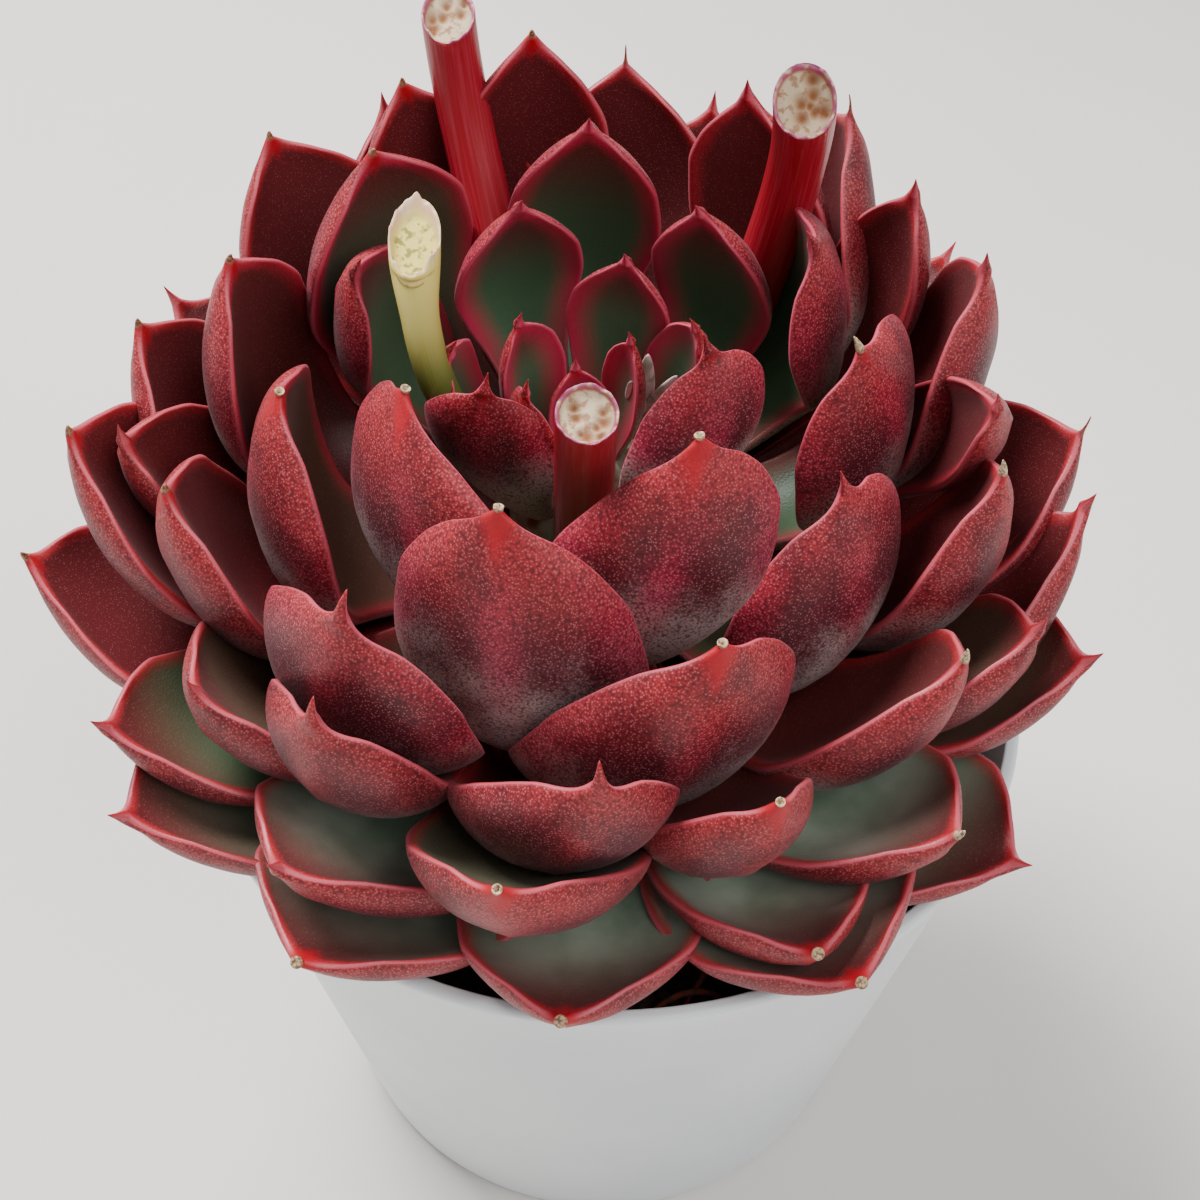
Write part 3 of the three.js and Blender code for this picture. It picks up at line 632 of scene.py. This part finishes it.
def bezier(points, t):
    """Places and unit directions along the curve that four points give."""
    a, b, c, d = points
    t = t[:, None]
    m = 1 - t
    place = m ** 3 * a + 3 * m * m * t * b + 3 * m * t * t * c + t ** 3 * d
    run = m * m * (b - a) + 2 * m * t * (c - b) + t * t * (d - c)
    return place, run / np.linalg.norm(run, axis=1, keepdims=True)


def leaf_section(angle, share):
    """Across and height of a leaf's section round its edge: a cupped face with a thick round
    margin, and a swollen back with a low keel towards the tip."""
    u = np.sign(np.cos(angle)) * np.abs(np.cos(angle)) ** CORNER_CROWDING
    lip = np.clip((np.abs(u) - LIP_START) / (1 - LIP_START), 0, 1)
    bead = BEAD_HEIGHT * np.exp(-((np.abs(u) - BEAD_PLACE) / BEAD_SPREAD) ** 2)
    upper = FACE_MIDDLE + FACE_RISE * u ** 2 + bead - LIP_DROP * lip ** 2
    keel = KEEL_HEIGHT * np.exp(-(u / KEEL_SPREAD) ** 2) * rise(share, *KEEL_FROM)
    under = BACK_EDGE - BACK_BULGE * (1 - np.abs(u) ** BACK_SQUARENESS) ** BACK_FULLNESS - keel
    return u, np.where(np.sin(angle) >= -1e-9, upper, under)


def shape_leaf(mesh, up, around, plan, seed, kind):
    """Moves a round form's vertices into one cupped, pointed leaf and stores where each one lies."""
    degrees, polar, reach, bend, share, turn = (*plan, *PLAIN_LEAF[len(plan):])
    radii, advances, hook, dryness, paleness = LEAF_POINTS[kind]
    full_width = at_polar(LEAF_WIDTH, polar) * share
    full_depth = at_polar(LEAF_THICKNESS, polar)
    size = LEAST_POINT_SIZE + (1 - LEAST_POINT_SIZE) * min(full_width / FULL_POINT_WIDTH, 1)
    points = leaf_line(polar, reach)
    length = np.linalg.norm(points[3] - points[0]) * LINE_OVER_CHORD
    blade = 1 - (1 - np.minimum(up / BLADE_RINGS, 1)) ** RING_CROWDING
    past = np.clip((up - BLADE_RINGS) / (1 - BLADE_RINGS), 0, 1)
    t = blade * (1 - advances[-1] * size / length)
    line, run = bezier(points, t)

    chance = np.random.default_rng(seed)
    sway = chance.uniform(-1, 1, 3)
    out = outward(degrees + bend * (1 - t * t))
    side = np.cross(out, AXIS)
    lift = AXIS * run[:, :1] - out * run[:, 1:]
    turned = np.radians(turn * t)[:, None]
    side, lift = (
        side * np.cos(turned) + lift * np.sin(turned), lift * np.cos(turned) - side * np.sin(turned))
    forward = out * run[:, :1] + AXIS * run[:, 1:]

    root = 2 * radii[0] * size
    width = full_width * smooth_curve(LEAF_STATIONS, [*STATION_WIDTH, root / full_width], blade)
    depth = full_depth * smooth_curve(LEAF_STATIONS, [*STATION_THICKNESS, root / full_depth], blade)
    closing = np.minimum(1, up * LEAF_RINGS / CLOSING_RINGS)
    width = width * closing
    depth = depth * closing
    angle = around * 2 * math.pi
    u, v = leaf_section(angle, blade)
    wave = np.sin(blade * LONG_WAVE[0] + sway[0] * WAVE_SHIFT) * LONG_WAVE[1] * sway[1]
    wave = wave + np.sin(blade * SHORT_WAVE[0] + sway[2] * WAVE_SHIFT) * SHORT_WAVE[1]
    wave = wave * np.abs(u) ** 3 * np.sin(blade * math.pi)
    across = u * width / 2
    height = depth * v + CUP * width * u * u + wave
    roundness = rise(blade, ROUND_FROM, 1)
    radius = np.interp(past, np.linspace(0, 1, len(radii)), radii) * size
    radius = np.where(up >= 1, 0, radius)
    round_width = np.where(past > 0, radius, width / 2)
    round_depth = np.where(past > 0, radius, depth / 2)
    across = across * (1 - roundness) + np.cos(angle) * round_width * roundness
    height = height * (1 - roundness) + np.sin(angle) * round_depth * roundness + hook * past ** 2
    advance = np.interp(past, np.linspace(0, 1, len(advances)), advances) * size
    centre = CROWN + out * line[:, :1] + AXIS * line[:, 1:]
    set_places(
        mesh, centre - side * across[:, None] + lift * height[:, None] + forward * advance[:, None])

    # Low leaves towards the camera are whitish with wax and a painted sheen
    low_front_sheen = rise(math.cos(math.radians(degrees + 90)), *FRONT_FROM) * rise(polar, *LOW_FROM)
    young = 1 - rise(polar, *GREEN_UNTIL)
    count = len(up)
    set_values(
        mesh, along=blade, edge_mm=(1 - np.abs(u)) * width / 2, across_mm=np.abs(across),
        tip_mm=(1 - t) * length + (advances[-1] - advance) * (past > 0),
        face=np.clip(np.sin(angle) * SIDE_SHARPNESS + 0.5, 0, 1),
        dry=dryness * rise(past, *DRY_FROM), pale=np.full(count, paleness),
        green=np.full(count, max(low_front_sheen, YOUNG_GREEN * young)), age=np.full(count, rise(polar, *OLD_FROM)),
        grain=np.stack([across, t * length, np.full(count, seed)], 1) * LEAF_GRAIN)


def dress(piece, slot, material, *nodes):
    """Gives a finished piece its material, and says what it rides on and stands for."""
    piece.data.materials.clear()
    piece.data.materials.append(material)
    piece.data.shade_smooth()
    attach(piece, "root")
    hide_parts(*nodes)


class ECHEVERIA_OT_leaves(bpy.types.Operator):
    """Add the grown leaves, the young leaves of the heart and the lowest hidden leaves"""
    bl_idname = "echeveria.leaves"
    bl_label = "Leaves"

    def execute(self, context):
        material = leaf_material(context.scene.echeveria_leaf)
        form, up, around = round_form("leaf_form", LEAF_RINGS, LEAF_SEGMENTS)
        groups = (("leaf", LEAVES), ("young_leaf", HEART_LEAVES), ("low_leaf", LOW_LEAVES))
        seed = 0
        for label, plans in groups:
            for number, plan in enumerate(plans, 1):
                seed += 1
                grown = label == "leaf"
                kinds = [kind for kind, numbers in POINT_OF_LEAF.items() if grown and number in numbers]
                piece = copy_form(form, f"{label}_{number:02d}_skin")
                shape_leaf(piece.data, up, around, plan, seed, kinds[0] if kinds else "sharp")
                dress(piece, "leaf", material, f"leaf_{number:02d}" if grown else "stem_and_heart")
        bpy.data.objects.remove(form)
        return {"FINISHED"}


def route_frame(points, share):
    """Places on a curve through three points, its direction, and two directions across it."""
    a, b, c = (np.asarray(point, float) for point in points)
    s = share[:, None]
    place = a * (1 - s) * (1 - 2 * s) + b * 4 * s * (1 - s) + c * s * (2 * s - 1)
    run = a * (4 * s - 3) + b * (4 - 8 * s) + c * (4 * s - 1)
    run /= np.linalg.norm(run, axis=1, keepdims=True)
    first = np.cross(run, BACKWARD)
    first /= np.linalg.norm(first, axis=1, keepdims=True)
    return place, run, first, np.cross(run, first)


# A stub's form for each share of its rings: share of the radius, height of its rim above the cut in
# mm, and share of the depth at which its pith lies
STUB_RINGS = (0, 0.02, 0.6, 0.64, 0.68, 0.72, 1)
STUB_RADIUS = (0, 1, 1, 0.98, 0.92, 0.86, 0)
STUB_RIM = (0, 0, 0, 0.15, 0.1, 0, 0)
STUB_PITH = (0, 0, 0, 0, 0, 0.75, 1)
STUB_SIDE = 0.6
STUB_EDGE = 0.04

# Smooth steps on a stub: the rim's end and the pith's start over its rings, and then the swelling
# and the slope of the cut over its side
RIM_END = (0.68, 0.72)
PITH_START = (0.7, 0.74)
SWOLLEN_FROM = (0.78, 0.97)
SLOPED_FROM = (0.9, 1)

# Waves round the torn rind and their height in mm, then hollows in the pith: how far they lie off
# its middle as a share of the radius, their spread in square mm and their depth in mm
TEARS = (2, 3, 5, 8, 13)
TEAR_HEIGHT = (0.05, 0.2)
HOLLOW_PLACE = 0.7
HOLLOW_SPREAD = (0.15, 0.8)
HOLLOW_DEPTH = 0.5
STALK_GRAIN = (3.5, 3.5, 4)


def shape_stalk(mesh, up, around, stalk, seed):
    """Moves a round form's vertices into a stub with a torn rind round a sunk, crumbly pith."""
    radius, cut, route, slope, swelling, hollows, depth = stalk
    share = np.clip(up / STUB_SIDE, 0, 1)
    place, run, first, second = route_frame([crown_point(*point) for point in route], share)
    angle = around * 2 * math.pi
    chance = np.random.default_rng(seed)
    torn = sum(chance.uniform(*TEAR_HEIGHT) * np.sin(angle * n + chance.uniform(0, 6)) for n in TEARS)
    on_end = rise(up, STUB_SIDE, STUB_SIDE + STUB_EDGE)
    on_rim = on_end * (1 - rise(up, *RIM_END))
    in_pith = rise(up, *PITH_START)
    out = np.interp(up, STUB_RINGS, STUB_RADIUS) * (radius + (cut - radius) * share)
    out = out * (1 + swelling * rise(share, *SWOLLEN_FROM))
    x, y = out * np.cos(angle), out * np.sin(angle)
    hollow = np.zeros(len(up))
    for _ in range(hollows):
        spot_x, spot_y = chance.uniform(-HOLLOW_PLACE, HOLLOW_PLACE, 2) * cut
        spot = np.exp(-((x - spot_x) ** 2 + (y - spot_y) ** 2) / chance.uniform(*HOLLOW_SPREAD))
        hollow = np.maximum(hollow, spot)
    hollow = hollow * in_pith
    height = np.interp(up, STUB_RINGS, STUB_RIM) - depth * np.interp(up, STUB_RINGS, STUB_PITH)
    height = height + torn * on_rim - HOLLOW_DEPTH * hollow
    height = height - slope * np.sin(angle) * out / cut * rise(share, *SLOPED_FROM)
    set_places(mesh, place + first * x[:, None] + second * y[:, None] + run * height[:, None])
    set_values(
        mesh, along=share, rind=on_rim, pith=in_pith, hollow=hollow,
        grain=np.stack([x, y, share], 1) * STALK_GRAIN + (0, 0, seed))


class ECHEVERIA_OT_stalks(bpy.types.Operator):
    """Add the cut flower stalk stubs"""
    bl_idname = "echeveria.stalks"
    bl_label = "Flower stalks"

    def execute(self, context):
        look = context.scene.echeveria_stalk
        red = stalk_material(look, green=False)
        green = stalk_material(look, green=True)
        form, up, around = round_form("stalk_form", *STALK_FINENESS)
        for seed, (side, stalk) in enumerate(STALKS.items(), 1):
            node = f"flower_stalk_{side}"
            piece = copy_form(form, node + "_skin")
            shape_stalk(piece.data, up, around, stalk, seed)
            if side == "green":
                dress(piece, "green_stalk", green, node)
            else:
                dress(piece, "flower_stalk", red, node)
        bpy.data.objects.remove(form)
        return {"FINISHED"}


def shape_sliver(mesh, up, around, points, radius, flat):
    """Moves a round form's vertices into a thin body along a curve, pointed at both ends."""
    place, _, first, second = route_frame(points, up)
    out = radius * np.sin(up * math.pi) ** SLIVER_FULLNESS
    angle = around * 2 * math.pi
    x, y = out * np.cos(angle), out * np.sin(angle) * flat
    set_places(mesh, place + first * x[:, None] + second * y[:, None])


class ECHEVERIA_OT_bud(bpy.types.Operator):
    """Add the small dried bud beside the heart"""
    bl_idname = "echeveria.bud"
    bl_label = "Dried bud"

    def execute(self, context):
        look = context.scene.echeveria_pot
        material = grained_material(
            "dried_bud_papery", look.bud, look.bud_foot, grain_mm=1.6, roughness=0.6, relief_mm=0.1)
        form, up, around = round_form("bud_form", *BUD_FINENESS)
        foot = crown_point(*BUD_FOOT)
        for number, place in enumerate(BUD_POINTS, 1):
            tip = crown_point(*place)
            middle = foot + (tip - foot) * 0.5 - BACKWARD * BUD_SAG
            piece = copy_form(form, f"bud_petal_{number}")
            shape_sliver(piece.data, up, around, (foot, middle, tip), BUD_RADIUS, BUD_FLATNESS)
            dress(piece, "stem", material, "stem_and_heart")
        bpy.data.objects.remove(form)
        return {"FINISHED"}


def pot_radius(height):
    """The radius of the pot's taper, without its band."""
    return POT_BASE_RADIUS + (POT_RIM_RADIUS - POT_BASE_RADIUS) * height / POT_HEIGHT


def drill_pot(pot):
    """Cuts the drain holes through the pot's floor."""
    deselect()
    for hole in range(DRAIN_HOLES):
        angle = hole / DRAIN_HOLES * 2 * math.pi
        place = (math.cos(angle) * DRAIN_HOLE_CIRCLE * MM, math.sin(angle) * DRAIN_HOLE_CIRCLE * MM, 0)
        bpy.ops.mesh.primitive_cylinder_add(
            vertices=DRAIN_HOLE_SEGMENTS, radius=DRAIN_HOLE_RADIUS * MM, depth=3 * POT_FLOOR * MM,
            location=place)
        drill = bpy.context.object
        cut = pot.modifiers.new("drain_hole", "BOOLEAN")
        cut.operation = "DIFFERENCE"
        cut.solver = "EXACT"
        cut.object = drill
        bpy.context.view_layer.objects.active = pot
        bpy.ops.object.modifier_apply(modifier="drain_hole")
        bpy.data.objects.remove(drill)


class ECHEVERIA_OT_pot(bpy.types.Operator):
    """Add the smooth round nursery pot"""
    bl_idname = "echeveria.pot"
    bl_label = "Pot"

    def execute(self, context):
        plastic = grained_material(
            "moulded_polypropylene_satin", context.scene.echeveria_pot.plastic, linear("#d8dddf"),
            grain_mm=30, roughness=0.42, relief_mm=0.05)
        band = POT_HEIGHT - POT_BAND_HEIGHT
        wall_top = pot_radius(band) - POT_BAND_STEP
        profile = (
            (POT_BASE_RADIUS, POT_FOOT_ROUNDING), (wall_top, band - POT_BAND_SLOPE), (pot_radius(band), band),
            (POT_RIM_RADIUS, POT_HEIGHT - POT_LIP_ROUNDING), (POT_RIM_RADIUS - POT_LIP_ROUNDING, POT_HEIGHT),
            (POT_RIM_RADIUS - POT_WALL, POT_HEIGHT), (wall_top - POT_WALL, band - POT_BAND_SLOPE),
            (POT_BASE_RADIUS - POT_WALL, POT_FLOOR),
        )
        deselect()
        radius, height = POT_BASE_RADIUS - POT_FOOT_ROUNDING, 0
        bpy.ops.mesh.primitive_circle_add(vertices=POT_SEGMENTS, radius=radius * MM, fill_type="NGON")
        pot = context.object
        pot.name = "pot_skin"
        pot.data.name = pot.name
        bpy.ops.object.mode_set(mode="EDIT")
        bpy.ops.mesh.select_all(action="SELECT")
        for next_radius, next_height in profile:
            move = {"value": (0, 0, (next_height - height) * MM)}
            bpy.ops.mesh.extrude_region_move(TRANSFORM_OT_translate=move)
            growth = next_radius / radius
            bpy.ops.transform.resize(value=(growth, growth, 1), center_override=(0, 0, 0))
            radius, height = next_radius, next_height
        bpy.ops.mesh.select_all(action="SELECT")
        bpy.ops.mesh.normals_make_consistent(inside=False)
        bpy.ops.object.mode_set(mode="OBJECT")
        bevel = pot.modifiers.new("edges", "BEVEL")
        bevel.width = POT_EDGE_ROUNDING * MM
        bevel.segments = POT_EDGE_STEPS
        bevel.limit_method = "ANGLE"
        bevel.angle_limit = math.radians(POT_ROUND_ANGLE)
        bpy.ops.object.modifier_apply(modifier="edges")
        drill_pot(pot)
        dress(pot, "pot", plastic, "pot")
        deselect()
        pot.select_set(True)
        bpy.ops.object.shade_smooth_by_angle(angle=math.radians(POT_SMOOTH_ANGLE))
        return {"FINISHED"}


class ECHEVERIA_OT_soil(bpy.types.Operator):
    """Add the crumbly soil with its fine roots, and the short stem in it"""
    bl_idname = "echeveria.soil"
    bl_label = "Soil and stem"

    def execute(self, context):
        look = context.scene.echeveria_pot
        peat = grained_material(
            "damp_peat_crumbly", look.soil, look.soil_light, grain_mm=1.4, roughness=0.95, relief_mm=0.8)
        soil, up, around = round_form("soil_skin", SOIL_RINGS, SOIL_SEGMENTS)
        foot_radius = POT_BASE_RADIUS - POT_WALL - TOUCH_GAP
        top_radius = pot_radius(SOIL_LEVEL) - POT_WALL - POT_BAND_STEP - TOUCH_GAP
        radius = np.interp(up, (0, SOIL_FLOOR_END, SOIL_WALL_END, 1), (0, foot_radius, top_radius, 0))
        floor = POT_FLOOR + TOUCH_GAP
        height = np.interp(
            up, (0, SOIL_FLOOR_END, SOIL_WALL_END, SOIL_SLOPE_END),
            (floor, floor, SOIL_LEVEL - SOIL_EDGE_DROP, SOIL_LEVEL))
        x = radius * np.cos(around * 2 * math.pi)
        y = radius * np.sin(around * 2 * math.pi)
        chance = np.random.default_rng(SOIL_SEED)
        crumbs = np.zeros(len(up))
        for _ in range(SOIL_CRUMBS):
            spot_x, spot_y = chance.uniform(-top_radius, top_radius, 2)
            size = chance.uniform(*SOIL_CRUMB_RADIUS)
            inside = size ** 2 - (x - spot_x) ** 2 - (y - spot_y) ** 2
            dome = np.sqrt(np.maximum(inside, 0)) + chance.uniform(*SOIL_CRUMB_PLACE)
            crumbs = np.maximum(crumbs, dome)
        crumbs = np.clip(crumbs, 0, SOIL_CRUMB_HEIGHT) * rise(up, SOIL_WALL_END, SOIL_CRUMBS_FROM)
        height = height + crumbs - SOIL_SUNK
        set_places(soil.data, np.stack([x, y, height], 1))
        dress(soil, "soil", peat, "soil")

        fibre = grained_material(
            "dry_root_fibrous", look.root, look.soil_light, grain_mm=0.8, roughness=0.8, relief_mm=0.2)
        form, up, around = round_form("root_form", *ROOT_FINENESS)
        for number, (*points, radius) in enumerate(ROOTS, 1):
            piece = copy_form(form, f"fine_root_{number}")
            shape_sliver(piece.data, up, around, points, radius, 1)
            dress(piece, "soil", fibre, "soil")
        bpy.data.objects.remove(form)

        bark = grained_material(
            "living_stem_corky", look.bud_foot, look.root, grain_mm=2.5, roughness=0.7, relief_mm=0.3)
        stem, up, around = round_form("stem_skin", *STEM_FINENESS)
        along = STEM_BOTTOM + (STEM_TOP + STEM_ROUNDING - STEM_BOTTOM) * up
        radius = STEM_RADIUS * rise(np.sin(up * math.pi), 0, 0.35)
        out = outward(around * 360)
        set_places(stem.data, CROWN + out * radius[:, None] + np.outer(along, AXIS))
        dress(stem, "stem", bark, "stem_and_heart")
        return {"FINISHED"}


def aim(light, place, target):
    """Turns a light at a place so that it faces a target."""
    light.rotation_euler = (Vector(target) - Vector(place)).to_track_quat("-Z", "Y").to_euler()


class ECHEVERIA_OT_stage(bpy.types.Operator):
    """Add the camera, the floor and the studio lights"""
    bl_idname = "echeveria.stage"
    bl_label = "Stage"

    def execute(self, context):
        deselect()
        bpy.ops.mesh.primitive_plane_add(size=FLOOR_SIZE)
        floor = context.object
        floor.name = "floor"
        matt = grained_material(
            "pale_matt_card", linear("#dedad4"), linear("#d6d2cc"), grain_mm=400, roughness=0.9,
            relief_mm=0.1)
        floor.data.materials.append(matt)
        world = bpy.data.worlds.new("studio")
        world.use_nodes = True
        context.scene.world = world
        sky = world.node_tree.nodes["Background"]
        sky.inputs["Color"].default_value = linear("#eef1f5")
        sky.inputs["Strength"].default_value = SKY_STRENGTH
        for name, (place, size, power) in LIGHTS.items():
            bpy.ops.object.light_add(type="AREA", location=place)
            light = context.object
            light.name = name
            light.data.size = size
            light.data.energy = power
            aim(light, place, LIT_SPOT)
        tilt, roll = math.radians(CAMERA_TILT), math.radians(CAMERA_ROLL)
        back = Vector((0, -math.cos(tilt), math.sin(tilt)))
        right = Vector((1, 0, 0))
        above = back.cross(right)
        turned_right = right * math.cos(roll) + above * math.sin(roll)
        turned_above = above * math.cos(roll) - right * math.sin(roll)
        bpy.ops.object.camera_add(location=[value * MM for value in CAMERA_PLACE])
        camera = context.object
        camera.data.lens = CAMERA_LENS
        camera.data.sensor_width = CAMERA_SENSOR
        camera.data.clip_start = CAMERA_NEAR * MM
        camera.rotation_euler = Matrix((turned_right, turned_above, back)).transposed().to_euler()
        context.scene.camera = camera
        return {"FINISHED"}


OPERATORS = (
    ECHEVERIA_OT_pot, ECHEVERIA_OT_soil, ECHEVERIA_OT_stalks, ECHEVERIA_OT_leaves, ECHEVERIA_OT_bud,
    ECHEVERIA_OT_stage,
)


class ECHEVERIA_PT_panel(bpy.types.Panel):
    """The steps that build the plant"""
    bl_idname = "ECHEVERIA_PT_panel"
    bl_label = "Echeveria"
    bl_space_type = "VIEW_3D"
    bl_region_type = "UI"
    bl_category = "Echeveria"

    def draw(self, context):
        for operator in OPERATORS:
            self.layout.operator(operator.bl_idname)


LOOKS = {
    "echeveria_leaf": EcheveriaLeafLook,
    "echeveria_stalk": EcheveriaStalkLook,
    "echeveria_pot": EcheveriaPotLook,
}
CLASSES = (*LOOKS.values(), *OPERATORS, ECHEVERIA_PT_panel)


def register():
    for cls in CLASSES:
        bpy.utils.register_class(cls)
    for name, look in LOOKS.items():
        setattr(bpy.types.Scene, name, bpy.props.PointerProperty(type=look))


def unregister():
    for name in LOOKS:
        delattr(bpy.types.Scene, name)
    for cls in reversed(CLASSES):
        bpy.utils.unregister_class(cls)


def main():
    register()
    for operator in OPERATORS:
        getattr(bpy.ops.echeveria, operator.bl_idname.split(".")[1])()


if __name__ == "__main__":
    main()
